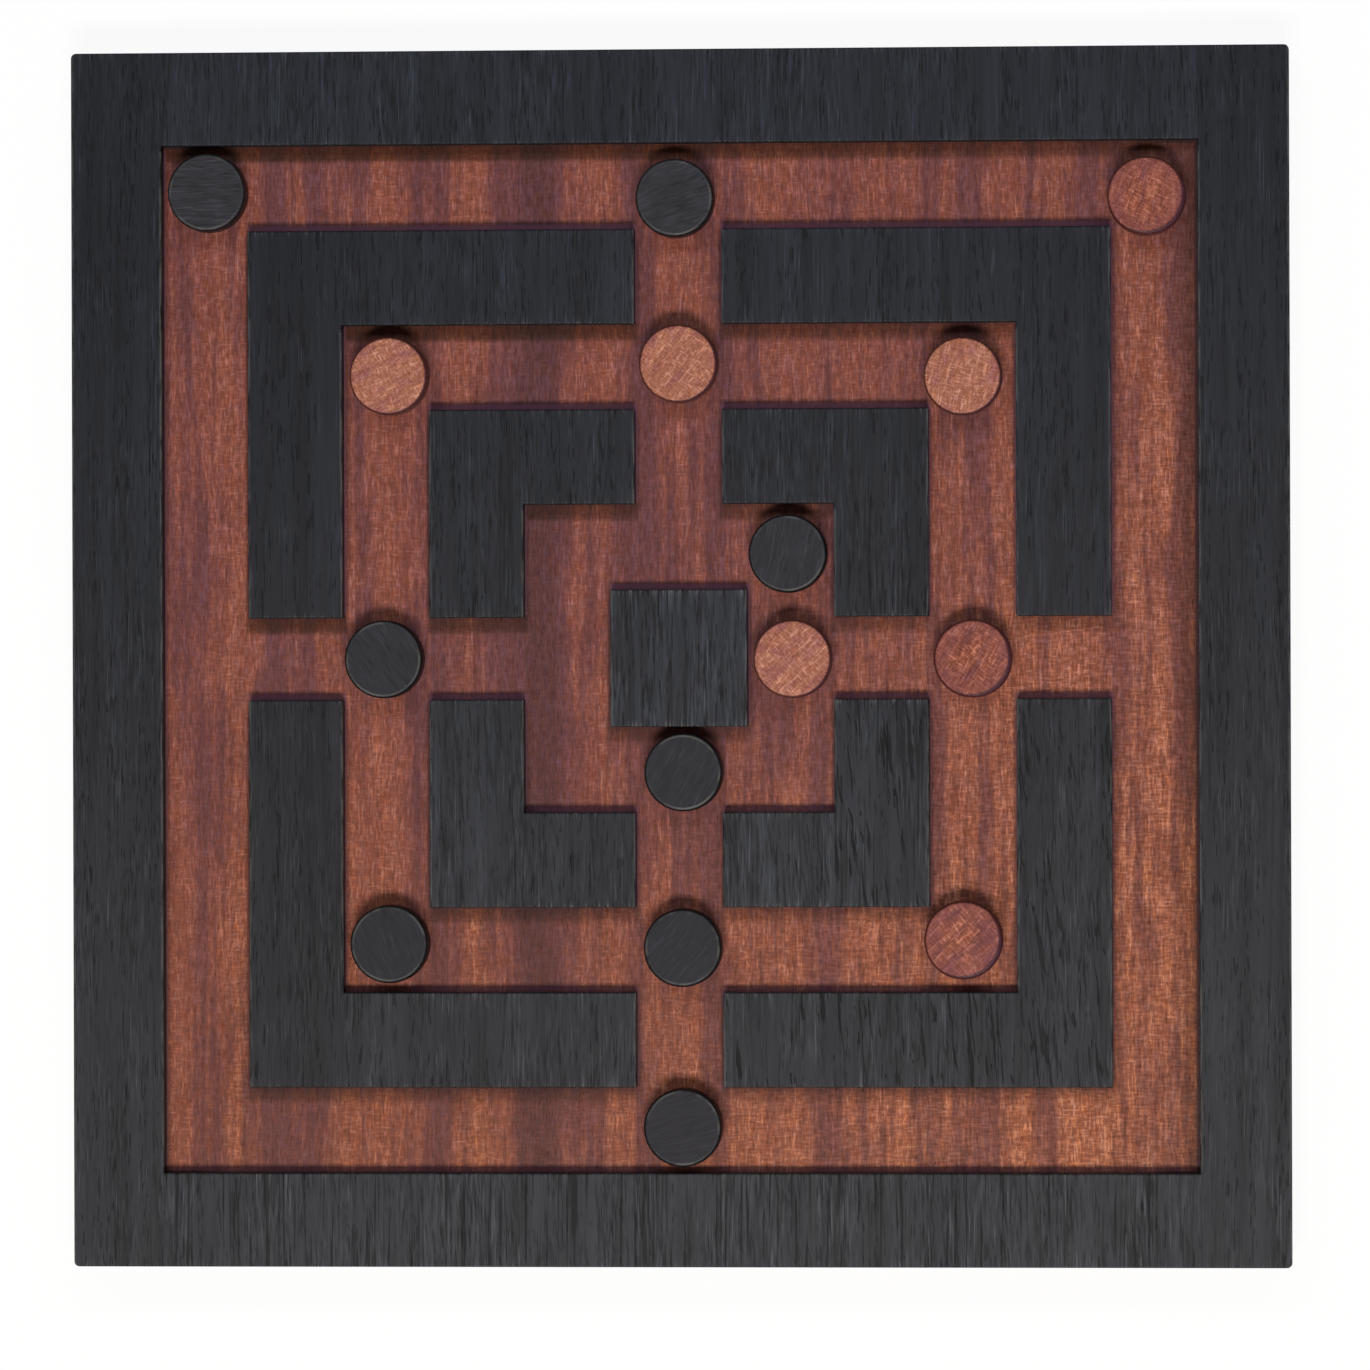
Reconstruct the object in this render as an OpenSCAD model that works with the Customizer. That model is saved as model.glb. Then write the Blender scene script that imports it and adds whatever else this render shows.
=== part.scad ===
// Nine mens morris board with sunk lanes and loose round men, in millimetres.
// Thin dark strips are glued on a red panel. The gaps between them are the lanes in which the men slide.
// The board lies flat: X runs across it, Y runs up it and Z is up, from the middle of its underside.

/* [Panel] */
// Thickness of the red panel under the whole board
panel_t = 12; // [6:0.5:25]
// Radius of the panel's four upright corners
corner_r = 1.5; // [0.6:0.1:6]
// Radius sanded on the panel's bottom edges
foot_r = 1; // [0.4:0.1:3]

/* [Strips] */
// Thickness of the dark strips, which is also the depth of the lanes
strip_t = 5; // [4.2:0.1:8]
// Width of the upright strips along the left and right edges
stile_w = 24.3; // [12:0.1:45]
// Width of the level strips along the top and bottom edges
rail_w = 25; // [12:0.1:45]
// Width of the strips of the outer set of corner pieces
outer_strip_w = 25.3; // [12:0.1:40]
// Width of the strips of the inner set of corner pieces
inner_strip_w = 25.3; // [12:0.1:40]
// Side of the square block in the middle
centre_w = 36.6; // [22:0.1:60]
// Radius of the eased edges on top of the strips
arris_r = 0.5; // [0.2:0.05:1]
// Radius of the eased upright corners of the strips
nose_r = 0.4; // [0.2:0.05:1]

/* [Lanes] */
// Width of the outer lanes that run up the board
outer_lane_x = 23.1; // [21.5:0.1:32]
// Width of the outer lanes that run across the board
outer_lane_y = 22.9; // [21.5:0.1:32]
// Width of the middle lanes that run up the board
middle_lane_x = 23.2; // [21.5:0.1:32]
// Width of the middle lanes that run across the board
middle_lane_y = 22.7; // [21.5:0.1:32]
// Width of the inner lanes that run up the board
inner_lane_x = 23.1; // [21.5:0.1:32]
// Width of the inner lanes that run across the board
inner_lane_y = 22.8; // [21.5:0.1:32]
// Width of the cross lane that runs up the board, through the midpoints of the squares
cross_lane_x = 23.3; // [21.5:0.1:30]
// Width of the cross lane that runs across the board
cross_lane_y = 21.9; // [21.5:0.1:30]

/* [Men] */
// Diameter of a man
man_d = 20.8; // [14:0.1:21]
// Thickness of a man, which stands a little above the strips
man_t = 8.5; // [5.2:0.1:12]
// Radius turned on a man's top edge
man_rim_r = 1; // [0.2:0.05:1.4]
// Radius turned on a man's bottom edge
man_foot_r = 0.4; // [0.2:0.05:1.2]
// Play under a man where it stands on the panel
man_play = 0.1; // [0.05:0.05:0.3]
// Least play between a sliding man and the sides of its lane
lane_play = 0.2; // [0.1:0.05:0.25]

/* [Hidden] */
$fn = 96;
// Flats that make up each quarter of an eased edge
ease_steps = 4;
// Lengths by which a cutting shape passes the piece that it trims
overrun = 1;

// Distances from the middle of the board to both edges of each strip
inner_x = [centre_w / 2 + inner_lane_x, centre_w / 2 + inner_lane_x + inner_strip_w];
outer_x = [inner_x[1] + middle_lane_x, inner_x[1] + middle_lane_x + outer_strip_w];
frame_x = [outer_x[1] + outer_lane_x, outer_x[1] + outer_lane_x + stile_w];
inner_y = [centre_w / 2 + inner_lane_y, centre_w / 2 + inner_lane_y + inner_strip_w];
outer_y = [inner_y[1] + middle_lane_y, inner_y[1] + middle_lane_y + outer_strip_w];
frame_y = [outer_y[1] + outer_lane_y, outer_y[1] + outer_lane_y + rail_w];

// Centre lines of the lanes, from the middle of the board outwards
lane_x = [0, inner_x[0] - inner_lane_x / 2, outer_x[0] - middle_lane_x / 2, frame_x[0] - outer_lane_x / 2];
lane_y = [0, inner_y[0] - inner_lane_y / 2, outer_y[0] - middle_lane_y / 2, frame_y[0] - outer_lane_y / 2];

// Columns a to g and rows 1 to 7 of the points on which the men stand
COLUMNS = "abcdefg";
ROWS = "1234567";
column_x = [-lane_x[3], -lane_x[2], -lane_x[1], 0, lane_x[1], lane_x[2], lane_x[3]];
row_y = [-lane_y[3], -lane_y[2], -lane_y[1], 0, lane_y[1], lane_y[2], lane_y[3]];

// Each man: its point, its colour, and how far the players left it off the point along X and Y
MEN = [
    ["a7", "dark", 1.3, -1.2],
    ["d7", "dark", -0.6, -3.4],
    ["e5", "dark", -0.6, -2.0],
    ["b4", "dark", -0.4, -0.1],
    ["d3", "dark", 1.3, -0.7],
    ["b2", "dark", 0.9, 1.7],
    ["d2", "dark", 1.0, 0.6],
    ["d1", "dark", 0.9, 2.6],
    ["g7", "red", -2.0, -3.6],
    ["b6", "red", 1.1, -2.3],
    ["d6", "red", 0.2, 0.6],
    ["f6", "red", -2.4, -3.1],
    ["e4", "red", 0.6, -0.3],
    ["f4", "red", 0.1, -0.4],
    ["f2", "red", -2.6, 2.6]
];

// Colours of the ebonised oak, the ribbon mahogany and the two sets of men
strip_colour = [0.19, 0.19, 0.21];
panel_colour = [0.50, 0.30, 0.26];
dark_colour = [0.22, 0.22, 0.23];
red_colour = [0.62, 0.40, 0.34];

// Points of a quarter circle round a centre, from one angle on to the next right angle
function quarter(centre, r, from) = r <= 0 ? [centre] : [
    for (i = [0 : ease_steps])
        let (a = from + 90 * i / ease_steps)
        [centre[0] + r * cos(a), centre[1] + r * sin(a)]
];

// Outline of a rectangle with its own radius at each corner: low left, low right, high right, high left
module eased_outline(x, y, r) {
    polygon(concat(
        quarter([x[0] + r[0], y[0] + r[0]], r[0], 180),
        quarter([x[1] - r[1], y[0] + r[1]], r[1], 270),
        quarter([x[1] - r[2], y[1] - r[2]], r[2], 0),
        quarter([x[0] + r[3], y[1] - r[3]], r[3], 90)
    ));
}

// A section drawn in X and Z, run along Y
module run_along_y(y) {
    translate([0, y[1], 0])
        rotate([90, 0, 0])
            linear_extrude(y[1] - y[0])
                children();
}

// A section drawn in Y and Z, run along X
module run_along_x(x) {
    translate([x[0], 0, 0])
        rotate([90, 0, 90])
            linear_extrude(x[1] - x[0])
                children();
}

// A flat piece from x[0] to x[1], y[0] to y[1] and z[0] to z[1].
// side and end hold the radii of its top edges at low and high X and Y, nose its corner radii as eased_outline
// takes them.
module flat_piece(x, y, z, side, end, nose) {
    intersection() {
        run_along_y([y[0] - overrun, y[1] + overrun])
            eased_outline(x, z, [0, 0, side[1], side[0]]);
        run_along_x([x[0] - overrun, x[1] + overrun])
            eased_outline(y, z, [0, 0, end[1], end[0]]);
        translate([0, 0, z[0] - overrun])
            linear_extrude(z[1] - z[0] + 2 * overrun)
                eased_outline(x, y, nose);
    }
}

strip_z = [panel_t, panel_t + strip_t];

// A strip that runs up the board. Where level strips meet its inner side, in the stretches of Y listed in butts,
// that edge is left square, and their eased edges run on into it with a mitre.
module upright(x, y, noses, butts) {
    union() {
        flat_piece(x, y, strip_z, [arris_r, arris_r], [arris_r, arris_r], noses);
        for (b = butts)
            flat_piece([x[0], x[0] + 2 * arris_r], b, strip_z, [0, 0], [arris_r, arris_r], [0, 0, 0, 0]);
    }
}

// The piece drawn at the top right, mirrored into a corner of the board: sx and sy are 1 or -1
module in_corner(sx, sy) {
    mirror([sx < 0 ? 1 : 0, 0, 0])
        mirror([0, sy < 0 ? 1 : 0, 0])
            children();
}

// The upright strip of a corner piece, from the cross lane to the outside of the corner
module leg(span_x, span_y, sx, sy) {
    color(strip_colour)
        in_corner(sx, sy)
            upright(span_x, [cross_lane_y / 2, span_y[1]], [nose_r, nose_r, nose_r, 0], [span_y]);
}

// The level strip of a corner piece, from the cross lane to its butt joint with the leg
module arm(span_x, span_y, sx, sy) {
    color(strip_colour)
        in_corner(sx, sy)
            flat_piece(
                [cross_lane_x / 2, span_x[0]], span_y, strip_z,
                [arris_r, 0], [arris_r, arris_r], [nose_r, 0, 0, nose_r]
            );
}

module stile(sx) {
    color(strip_colour)
        in_corner(sx, 1)
            upright(
                frame_x, [-frame_y[1], frame_y[1]], [0, corner_r, corner_r, 0],
                [frame_y, [-frame_y[1], -frame_y[0]]]
            );
}

module rail(sy) {
    color(strip_colour)
        in_corner(1, sy)
            flat_piece([-frame_x[0], frame_x[0]], frame_y, strip_z, [0, 0], [arris_r, arris_r], [0, 0, 0, 0]);
}

module centre_block() {
    half = centre_w / 2;
    color(strip_colour)
        flat_piece(
            [-half, half], [-half, half], strip_z,
            [arris_r, arris_r], [arris_r, arris_r], [nose_r, nose_r, nose_r, nose_r]
        );
}

// The panel's bottom edges are eased. Its top edges stay square under the frame.
module panel() {
    x = [-frame_x[1], frame_x[1]];
    y = [-frame_y[1], frame_y[1]];
    z = [0, panel_t];
    color(panel_colour)
        intersection() {
            run_along_y([y[0] - overrun, y[1] + overrun])
                eased_outline(x, z, [foot_r, foot_r, 0, 0]);
            run_along_x([x[0] - overrun, x[1] + overrun])
                eased_outline(y, z, [foot_r, foot_r, 0, 0]);
            translate([0, 0, -overrun])
                linear_extrude(panel_t + 2 * overrun)
                    eased_outline(x, y, [corner_r, corner_r, corner_r, corner_r]);
        }
}

// Half the section of a man, turned about its axis
module man_section() {
    r = man_d / 2;
    square([r - max(man_rim_r, man_foot_r), man_t]);
    translate([0, man_foot_r])
        square([r, man_t - man_rim_r - man_foot_r]);
    translate([0, man_t - man_rim_r])
        square([r - man_rim_r, man_rim_r]);
    square([r - man_foot_r, man_foot_r]);
    translate([r - man_rim_r, man_t - man_rim_r])
        circle(man_rim_r);
    translate([r - man_foot_r, man_foot_r])
        circle(man_foot_r);
}

// Largest distance off its line that a sliding man can have in a lane of width w
function lean_limit(w) = (w - man_d) / 2 - lane_play;

function held(lean, limit) = max(-limit, min(limit, lean));

// Width of the lane that holds a sliding man's sideways lean: [man, axis of the lean, width]
SLIDERS = [
    ["a7", 0, outer_lane_x],
    ["d6", 0, cross_lane_x],
    ["e4", 0, inner_lane_x],
    ["b4", 1, cross_lane_y],
    ["f4", 1, cross_lane_y],
    ["d3", 1, inner_lane_y],
    ["d1", 1, outer_lane_y]
];

function lean(man, axis) =
    let (given = man[2 + axis])
    let (lanes = [for (s = SLIDERS) if (s[0] == man[0] && s[1] == axis) s[2]])
    len(lanes) > 0 ? held(given, lean_limit(lanes[0])) : given;

module man(m) {
    x = column_x[search(m[0][0], COLUMNS)[0]] + lean(m, 0);
    y = row_y[search(m[0][1], ROWS)[0]] + lean(m, 1);
    color(m[1] == "dark" ? dark_colour : red_colour)
        translate([x, y, panel_t + man_play])
            rotate_extrude()
                man_section();
}

panel();
stile(-1);  // left_stile
stile(1);  // right_stile
rail(1);  // top_rail
rail(-1);  // bottom_rail
centre_block();
leg(outer_x, outer_y, -1, 1);  // outer_leg_top_left
leg(outer_x, outer_y, 1, 1);  // outer_leg_top_right
leg(outer_x, outer_y, -1, -1);  // outer_leg_bottom_left
leg(outer_x, outer_y, 1, -1);  // outer_leg_bottom_right
arm(outer_x, outer_y, -1, 1);  // outer_arm_top_left
arm(outer_x, outer_y, 1, 1);  // outer_arm_top_right
arm(outer_x, outer_y, -1, -1);  // outer_arm_bottom_left
arm(outer_x, outer_y, 1, -1);  // outer_arm_bottom_right
leg(inner_x, inner_y, -1, 1);  // inner_leg_top_left
leg(inner_x, inner_y, 1, 1);  // inner_leg_top_right
leg(inner_x, inner_y, -1, -1);  // inner_leg_bottom_left
leg(inner_x, inner_y, 1, -1);  // inner_leg_bottom_right
arm(inner_x, inner_y, -1, 1);  // inner_arm_top_left
arm(inner_x, inner_y, 1, 1);  // inner_arm_top_right
arm(inner_x, inner_y, -1, -1);  // inner_arm_bottom_left
arm(inner_x, inner_y, 1, -1);  // inner_arm_bottom_right
man(MEN[0]);  // dark_man_a7
man(MEN[1]);  // dark_man_d7
man(MEN[2]);  // dark_man_e5
man(MEN[3]);  // dark_man_b4
man(MEN[4]);  // dark_man_d3
man(MEN[5]);  // dark_man_b2
man(MEN[6]);  // dark_man_d2
man(MEN[7]);  // dark_man_d1
man(MEN[8]);  // red_man_g7
man(MEN[9]);  // red_man_b6
man(MEN[10]);  // red_man_d6
man(MEN[11]);  // red_man_f6
man(MEN[12]);  // red_man_e4
man(MEN[13]);  // red_man_f4
man(MEN[14]);  // red_man_f2
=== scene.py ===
"""Dresses the nine mens morris board: ebonised oak strips on a sapele panel, and turned men in its lanes."""
import logging
import math
from dataclasses import dataclass, field
from enum import Enum

import bpy
from mathutils import Matrix, Quaternion, Vector


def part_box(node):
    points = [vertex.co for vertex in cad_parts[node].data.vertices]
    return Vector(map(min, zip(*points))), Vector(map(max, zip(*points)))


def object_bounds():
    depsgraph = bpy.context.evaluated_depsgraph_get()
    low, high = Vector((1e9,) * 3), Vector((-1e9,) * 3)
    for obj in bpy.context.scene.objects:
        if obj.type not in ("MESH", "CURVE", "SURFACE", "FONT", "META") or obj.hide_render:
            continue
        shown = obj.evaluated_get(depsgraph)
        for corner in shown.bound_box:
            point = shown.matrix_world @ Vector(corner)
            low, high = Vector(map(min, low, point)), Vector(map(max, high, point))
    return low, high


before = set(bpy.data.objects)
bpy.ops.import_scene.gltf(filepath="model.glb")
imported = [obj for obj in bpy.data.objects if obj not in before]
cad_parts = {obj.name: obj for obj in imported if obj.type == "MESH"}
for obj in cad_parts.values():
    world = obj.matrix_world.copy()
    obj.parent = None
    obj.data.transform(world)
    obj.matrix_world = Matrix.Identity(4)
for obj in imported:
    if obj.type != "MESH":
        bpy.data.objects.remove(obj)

logging.basicConfig(level=logging.INFO, format="%(levelname)s %(message)s")
log = logging.getLogger("morris_board")

MM = 0.001
CAD_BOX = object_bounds()

Colour = tuple[float, float, float]
Span = tuple[float, float]
Socket = bpy.types.NodeSocket


def srgb(red: float, green: float, blue: float) -> Colour:
    """Turns a colour as a picture shows it, 0 to 255, into the linear values that shaders take.

    Args:
        red: Red as shown on a screen.
        green: Green as shown on a screen.
        blue: Blue as shown on a screen.

    Returns:
        The same colour in linear light.
    """
    def linear(level: float) -> float:
        share = level / 255
        return share / 12.92 if share <= 0.04045 else ((share + 0.055) / 1.055) ** 2.4
    return (linear(red), linear(green), linear(blue))


@dataclass(frozen=True)
class Grain:
    """One layer of a wood's figure: noise drawn out along the grain.

    Attributes:
        across: Width of a stroke, in millimetres.
        along: Length of a stroke, in millimetres.
        shift: Sets this layer apart from the others of the same wood.
        detail: Finer layers in the noise.
    """

    across: float
    along: float
    shift: float = 0.0
    detail: float = 1.0


class Workbench:
    """Wires the shader nodes of one material, so that a finish reads as a recipe."""

    # A Mix node has sockets of the same names for numbers and for colours, so these go by their place.
    MIX_SHARE, MIX_FIRST, MIX_SECOND, MIX_RESULT = 0, 6, 7, 2
    SEED_STEPS = (17.3, 5.1, 9.7)
    NOISE_ROUGHNESS = 0.55
    LEAST_GAIN = 0.2

    def __init__(self, name: str) -> None:
        """Starts an empty material.

        Args:
            name: The material's name.
        """
        self.material = bpy.data.materials.new(name)
        self.material.use_nodes = True
        self.tree = self.material.node_tree
        self.tree.nodes.clear()
        self.output = self.tree.nodes.new("ShaderNodeOutputMaterial")

    def node(self, kind: str, **settings: object) -> bpy.types.Node:
        """Adds a node and sets its plain properties."""
        made = self.tree.nodes.new(kind)
        for key, value in settings.items():
            setattr(made, key, value)
        return made

    def feed(self, target: Socket, source: Socket | float | Colour) -> None:
        """Links a socket to another, or sets it to a plain value."""
        if isinstance(source, Socket):
            self.tree.links.new(source, target)
        elif isinstance(source, tuple) and len(source) == 3 and len(target.default_value) == 4:
            target.default_value = (*source, 1.0)
        else:
            target.default_value = source

    def math(self, operation: str, first: Socket | float, second: Socket | float = 0.0,
             third: Socket | float = 0.0) -> Socket:
        """Joins two or three numbers by one operation.

        Args:
            operation: The Math node's operation.
            first: The first number.
            second: The second number, where the operation takes one.
            third: The third number, where it takes one.

        Returns:
            The result.
        """
        made = self.node("ShaderNodeMath", operation=operation)
        for socket, value in zip(made.inputs, (first, second, third)):
            self.feed(socket, value)
        return made.outputs[0]

    def times(self, first: Socket | float, second: Socket | float) -> Socket:
        """The product of two numbers."""
        return self.math("MULTIPLY", first, second)

    def span(self, value: Socket, low: float, high: float, to_low: float = 0.0,
             to_high: float = 1.0) -> Socket:
        """Maps a stretch of values onto another, held at both ends, with soft shoulders.

        Args:
            value: The number to map.
            low: Where the stretch starts.
            high: Where it ends.
            to_low: What it gives at the start.
            to_high: What it gives at the end.

        Returns:
            The mapped number.
        """
        made = self.node("ShaderNodeMapRange", interpolation_type="SMOOTHSTEP")
        self.feed(made.inputs["Value"], value)
        for key, plain in (("From Min", low), ("From Max", high), ("To Min", to_low), ("To Max", to_high)):
            made.inputs[key].default_value = plain
        return made.outputs["Result"]

    def mix(self, share: Socket | float, first: Socket | Colour, second: Socket | Colour,
            how: str = "MIX") -> Socket:
        """Blends two colours.

        Args:
            share: How much of the second colour shows.
            first: The first colour.
            second: The second colour.
            how: The blend type.

        Returns:
            The blended colour.
        """
        made = self.node("ShaderNodeMix", data_type="RGBA", blend_type=how)
        self.feed(made.inputs[self.MIX_SHARE], share)
        self.feed(made.inputs[self.MIX_FIRST], first)
        self.feed(made.inputs[self.MIX_SECOND], second)
        return made.outputs[self.MIX_RESULT]

    def tint(self, colour: Socket | Colour, by: Socket | Colour, share: Socket | float = 1.0) -> Socket:
        """Multiplies a colour by another, in full or by a share.

        Args:
            colour: The colour.
            by: What it is multiplied by.
            share: How much of the result shows.

        Returns:
            The new colour.
        """
        tinted = self.mix(1.0, colour, by, "MULTIPLY")
        return tinted if share == 1.0 else self.mix(share, colour, tinted)

    def place(self, turn: float = 0.0, centre: tuple[float, float] = (0.0, 0.0)) -> Socket:
        """Gives the point on the piece in millimetres, turned about an upright axis.

        Args:
            turn: Degrees by which the grain is turned.
            centre: The axis of the turn, in metres.

        Returns:
            The point.
        """
        coords = self.node("ShaderNodeTexCoord")
        shift = self.node("ShaderNodeMapping", vector_type="POINT")
        self.feed(shift.inputs["Vector"], coords.outputs["Object"])
        shift.inputs["Location"].default_value = (-centre[0] / MM, -centre[1] / MM, 0.0)
        shift.inputs["Scale"].default_value = (1 / MM,) * 3
        spin = self.node("ShaderNodeMapping", vector_type="POINT")
        self.feed(spin.inputs["Vector"], shift.outputs["Vector"])
        spin.inputs["Rotation"].default_value = (0.0, 0.0, math.radians(turn))
        return spin.outputs["Vector"]

    def strokes(self, point: Socket, grain: Grain, seed: float = 0.0) -> Socket:
        """Noise drawn out along the grain. A stroke is as deep as it is wide.

        Args:
            point: The point in millimetres.
            grain: The size of the strokes and their place in the pattern.
            seed: Moves the pattern, so that no two pieces match.

        Returns:
            Noise round one half.
        """
        start = seed + grain.shift
        stretch = self.node("ShaderNodeMapping", vector_type="POINT")
        self.feed(stretch.inputs["Vector"], point)
        stretch.inputs["Scale"].default_value = (1 / grain.across, 1 / grain.along, 1 / grain.across)
        stretch.inputs["Location"].default_value = tuple(start * step for step in self.SEED_STEPS)
        noise = self.node("ShaderNodeTexNoise", noise_dimensions="3D")
        self.feed(noise.inputs["Vector"], stretch.outputs["Vector"])
        noise.inputs["Scale"].default_value = 1.0
        noise.inputs["Detail"].default_value = grain.detail
        noise.inputs["Roughness"].default_value = self.NOISE_ROUGHNESS
        return noise.outputs["Fac"]

    def grey(self, level: Socket | float) -> Socket:
        """Turns a number into a grey, for multiplying a colour by it."""
        made = self.node("ShaderNodeCombineXYZ")
        for socket in made.inputs:
            self.feed(socket, level)
        return made.outputs[0]

    def gains(self, swing: Socket, shares: Colour) -> Socket:
        """Turns a swing round nothing into what each of red, green and blue is multiplied by.

        Args:
            swing: The swing, brighter where above nothing.
            shares: How strongly red, green and blue follow it.

        Returns:
            The three multipliers, as a colour.
        """
        made = self.node("ShaderNodeCombineXYZ")
        for socket, share in zip(made.inputs, shares):
            gain = self.math("MULTIPLY_ADD", swing, share, 1.0)
            self.feed(socket, self.math("MAXIMUM", gain, self.LEAST_GAIN))
        return made.outputs[0]

    def total(self, *parts: tuple[Socket, float]) -> Socket:
        """Adds layers of noise round one.

        Args:
            parts: Each layer, a noise round one half, and how strongly it counts.

        Returns:
            One plus the layers.
        """
        level: Socket | float = 1.0
        for noise, share in parts:
            swing = self.times(self.math("SUBTRACT", noise, 0.5), share)
            level = self.math("ADD", level, swing)
        return level

    def axes(self, point: Socket) -> tuple[Socket, Socket, Socket]:
        """Splits a point into its x, y and z."""
        parts = self.node("ShaderNodeSeparateXYZ")
        self.feed(parts.inputs[0], point)
        return parts.outputs[0], parts.outputs[1], parts.outputs[2]

    def facing(self) -> Socket:
        """The way the surface faces, in the piece's own frame."""
        return self.node("ShaderNodeTexCoord").outputs["Normal"]

    def wall(self) -> Socket:
        """One on upright walls and nothing on the flat."""
        return self.span(self.math("ABSOLUTE", self.axes(self.facing())[2]), 0.3, 0.8, 1.0, 0.0)

    def gap(self, point: Socket, low: Vector, high: Vector) -> Socket:
        """How far a point on the panel is from a strip, seen from above.

        Args:
            point: The point in millimetres.
            low: The strip's lowest corner, in metres.
            high: Its highest corner, in metres.

        Returns:
            The distance in millimetres.
        """
        centre = (low + high) / (2 * MM)
        half = (high - low) / (2 * MM)
        vector: Socket = point
        for operation, other in (
            ("SUBTRACT", (centre.x, centre.y, 0.0)), ("ABSOLUTE", None),
            ("SUBTRACT", (half.x, half.y, 0.0)), ("MAXIMUM", (0.0, 0.0, 0.0)),
            ("MULTIPLY", (1.0, 1.0, 0.0)), ("LENGTH", None)
        ):
            made = self.node("ShaderNodeVectorMath", operation=operation)
            self.feed(made.inputs[0], vector)
            if other is not None:
                made.inputs[1].default_value = other
            vector = made.outputs["Value" if operation == "LENGTH" else "Vector"]
        return vector

    def radius(self, point: Socket) -> Socket:
        """How far a point is from the upright axis, in millimetres."""
        flat = self.node("ShaderNodeVectorMath", operation="MULTIPLY")
        self.feed(flat.inputs[0], point)
        flat.inputs[1].default_value = (1.0, 1.0, 0.0)
        length = self.node("ShaderNodeVectorMath", operation="LENGTH")
        self.feed(length.inputs[0], flat.outputs["Vector"])
        return length.outputs["Value"]

    def finish(self, colour: Socket, roughness: Socket, bump: Socket, bump_height: float,
               specular: float) -> bpy.types.Material:
        """Closes the material with one wood shader.

        Args:
            colour: The wood's colour.
            roughness: Its roughness.
            bump: The height of its surface, from 0 to 1.
            bump_height: What a height of 1 stands for, in metres.
            specular: Strength of its gloss at the surface.

        Returns:
            The material.
        """
        relief = self.node("ShaderNodeBump")
        relief.inputs["Strength"].default_value = 1.0
        relief.inputs["Distance"].default_value = bump_height
        self.feed(relief.inputs["Height"], bump)
        shader = self.node("ShaderNodeBsdfPrincipled")
        self.feed(shader.inputs["Base Color"], colour)
        self.feed(shader.inputs["Roughness"], roughness)
        self.feed(shader.inputs["Normal"], relief.outputs["Normal"])
        shader.inputs["Specular IOR Level"].default_value = specular
        self.feed(self.output.inputs["Surface"], shader.outputs["BSDF"])
        return self.material


class Side(Enum):
    """A side of a strip, by the axis it faces along and its direction."""

    WEST = (0, -1)
    EAST = (0, 1)
    SOUTH = (1, -1)
    NORTH = (1, 1)

    @property
    def end_grain(self) -> bool:
        """Whether the fibres end there: all the oak has its grain up the board."""
        return self.value[0] == 1


@dataclass(frozen=True)
class Plank:
    """What sets the oak of one strip apart, because each was cut from another part of the plank.

    Attributes:
        depth: How bright it is.
        streaks: Strength of its streaks.
        coarse: How far its pores run together into cracks.
        rings: Strength of its dark ring lines.
        frayed: How far its end grain is worn.
    """

    depth: float
    streaks: float = 1.0
    coarse: float = 0.0
    rings: float = 0.25
    frayed: float = 0.45


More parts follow.
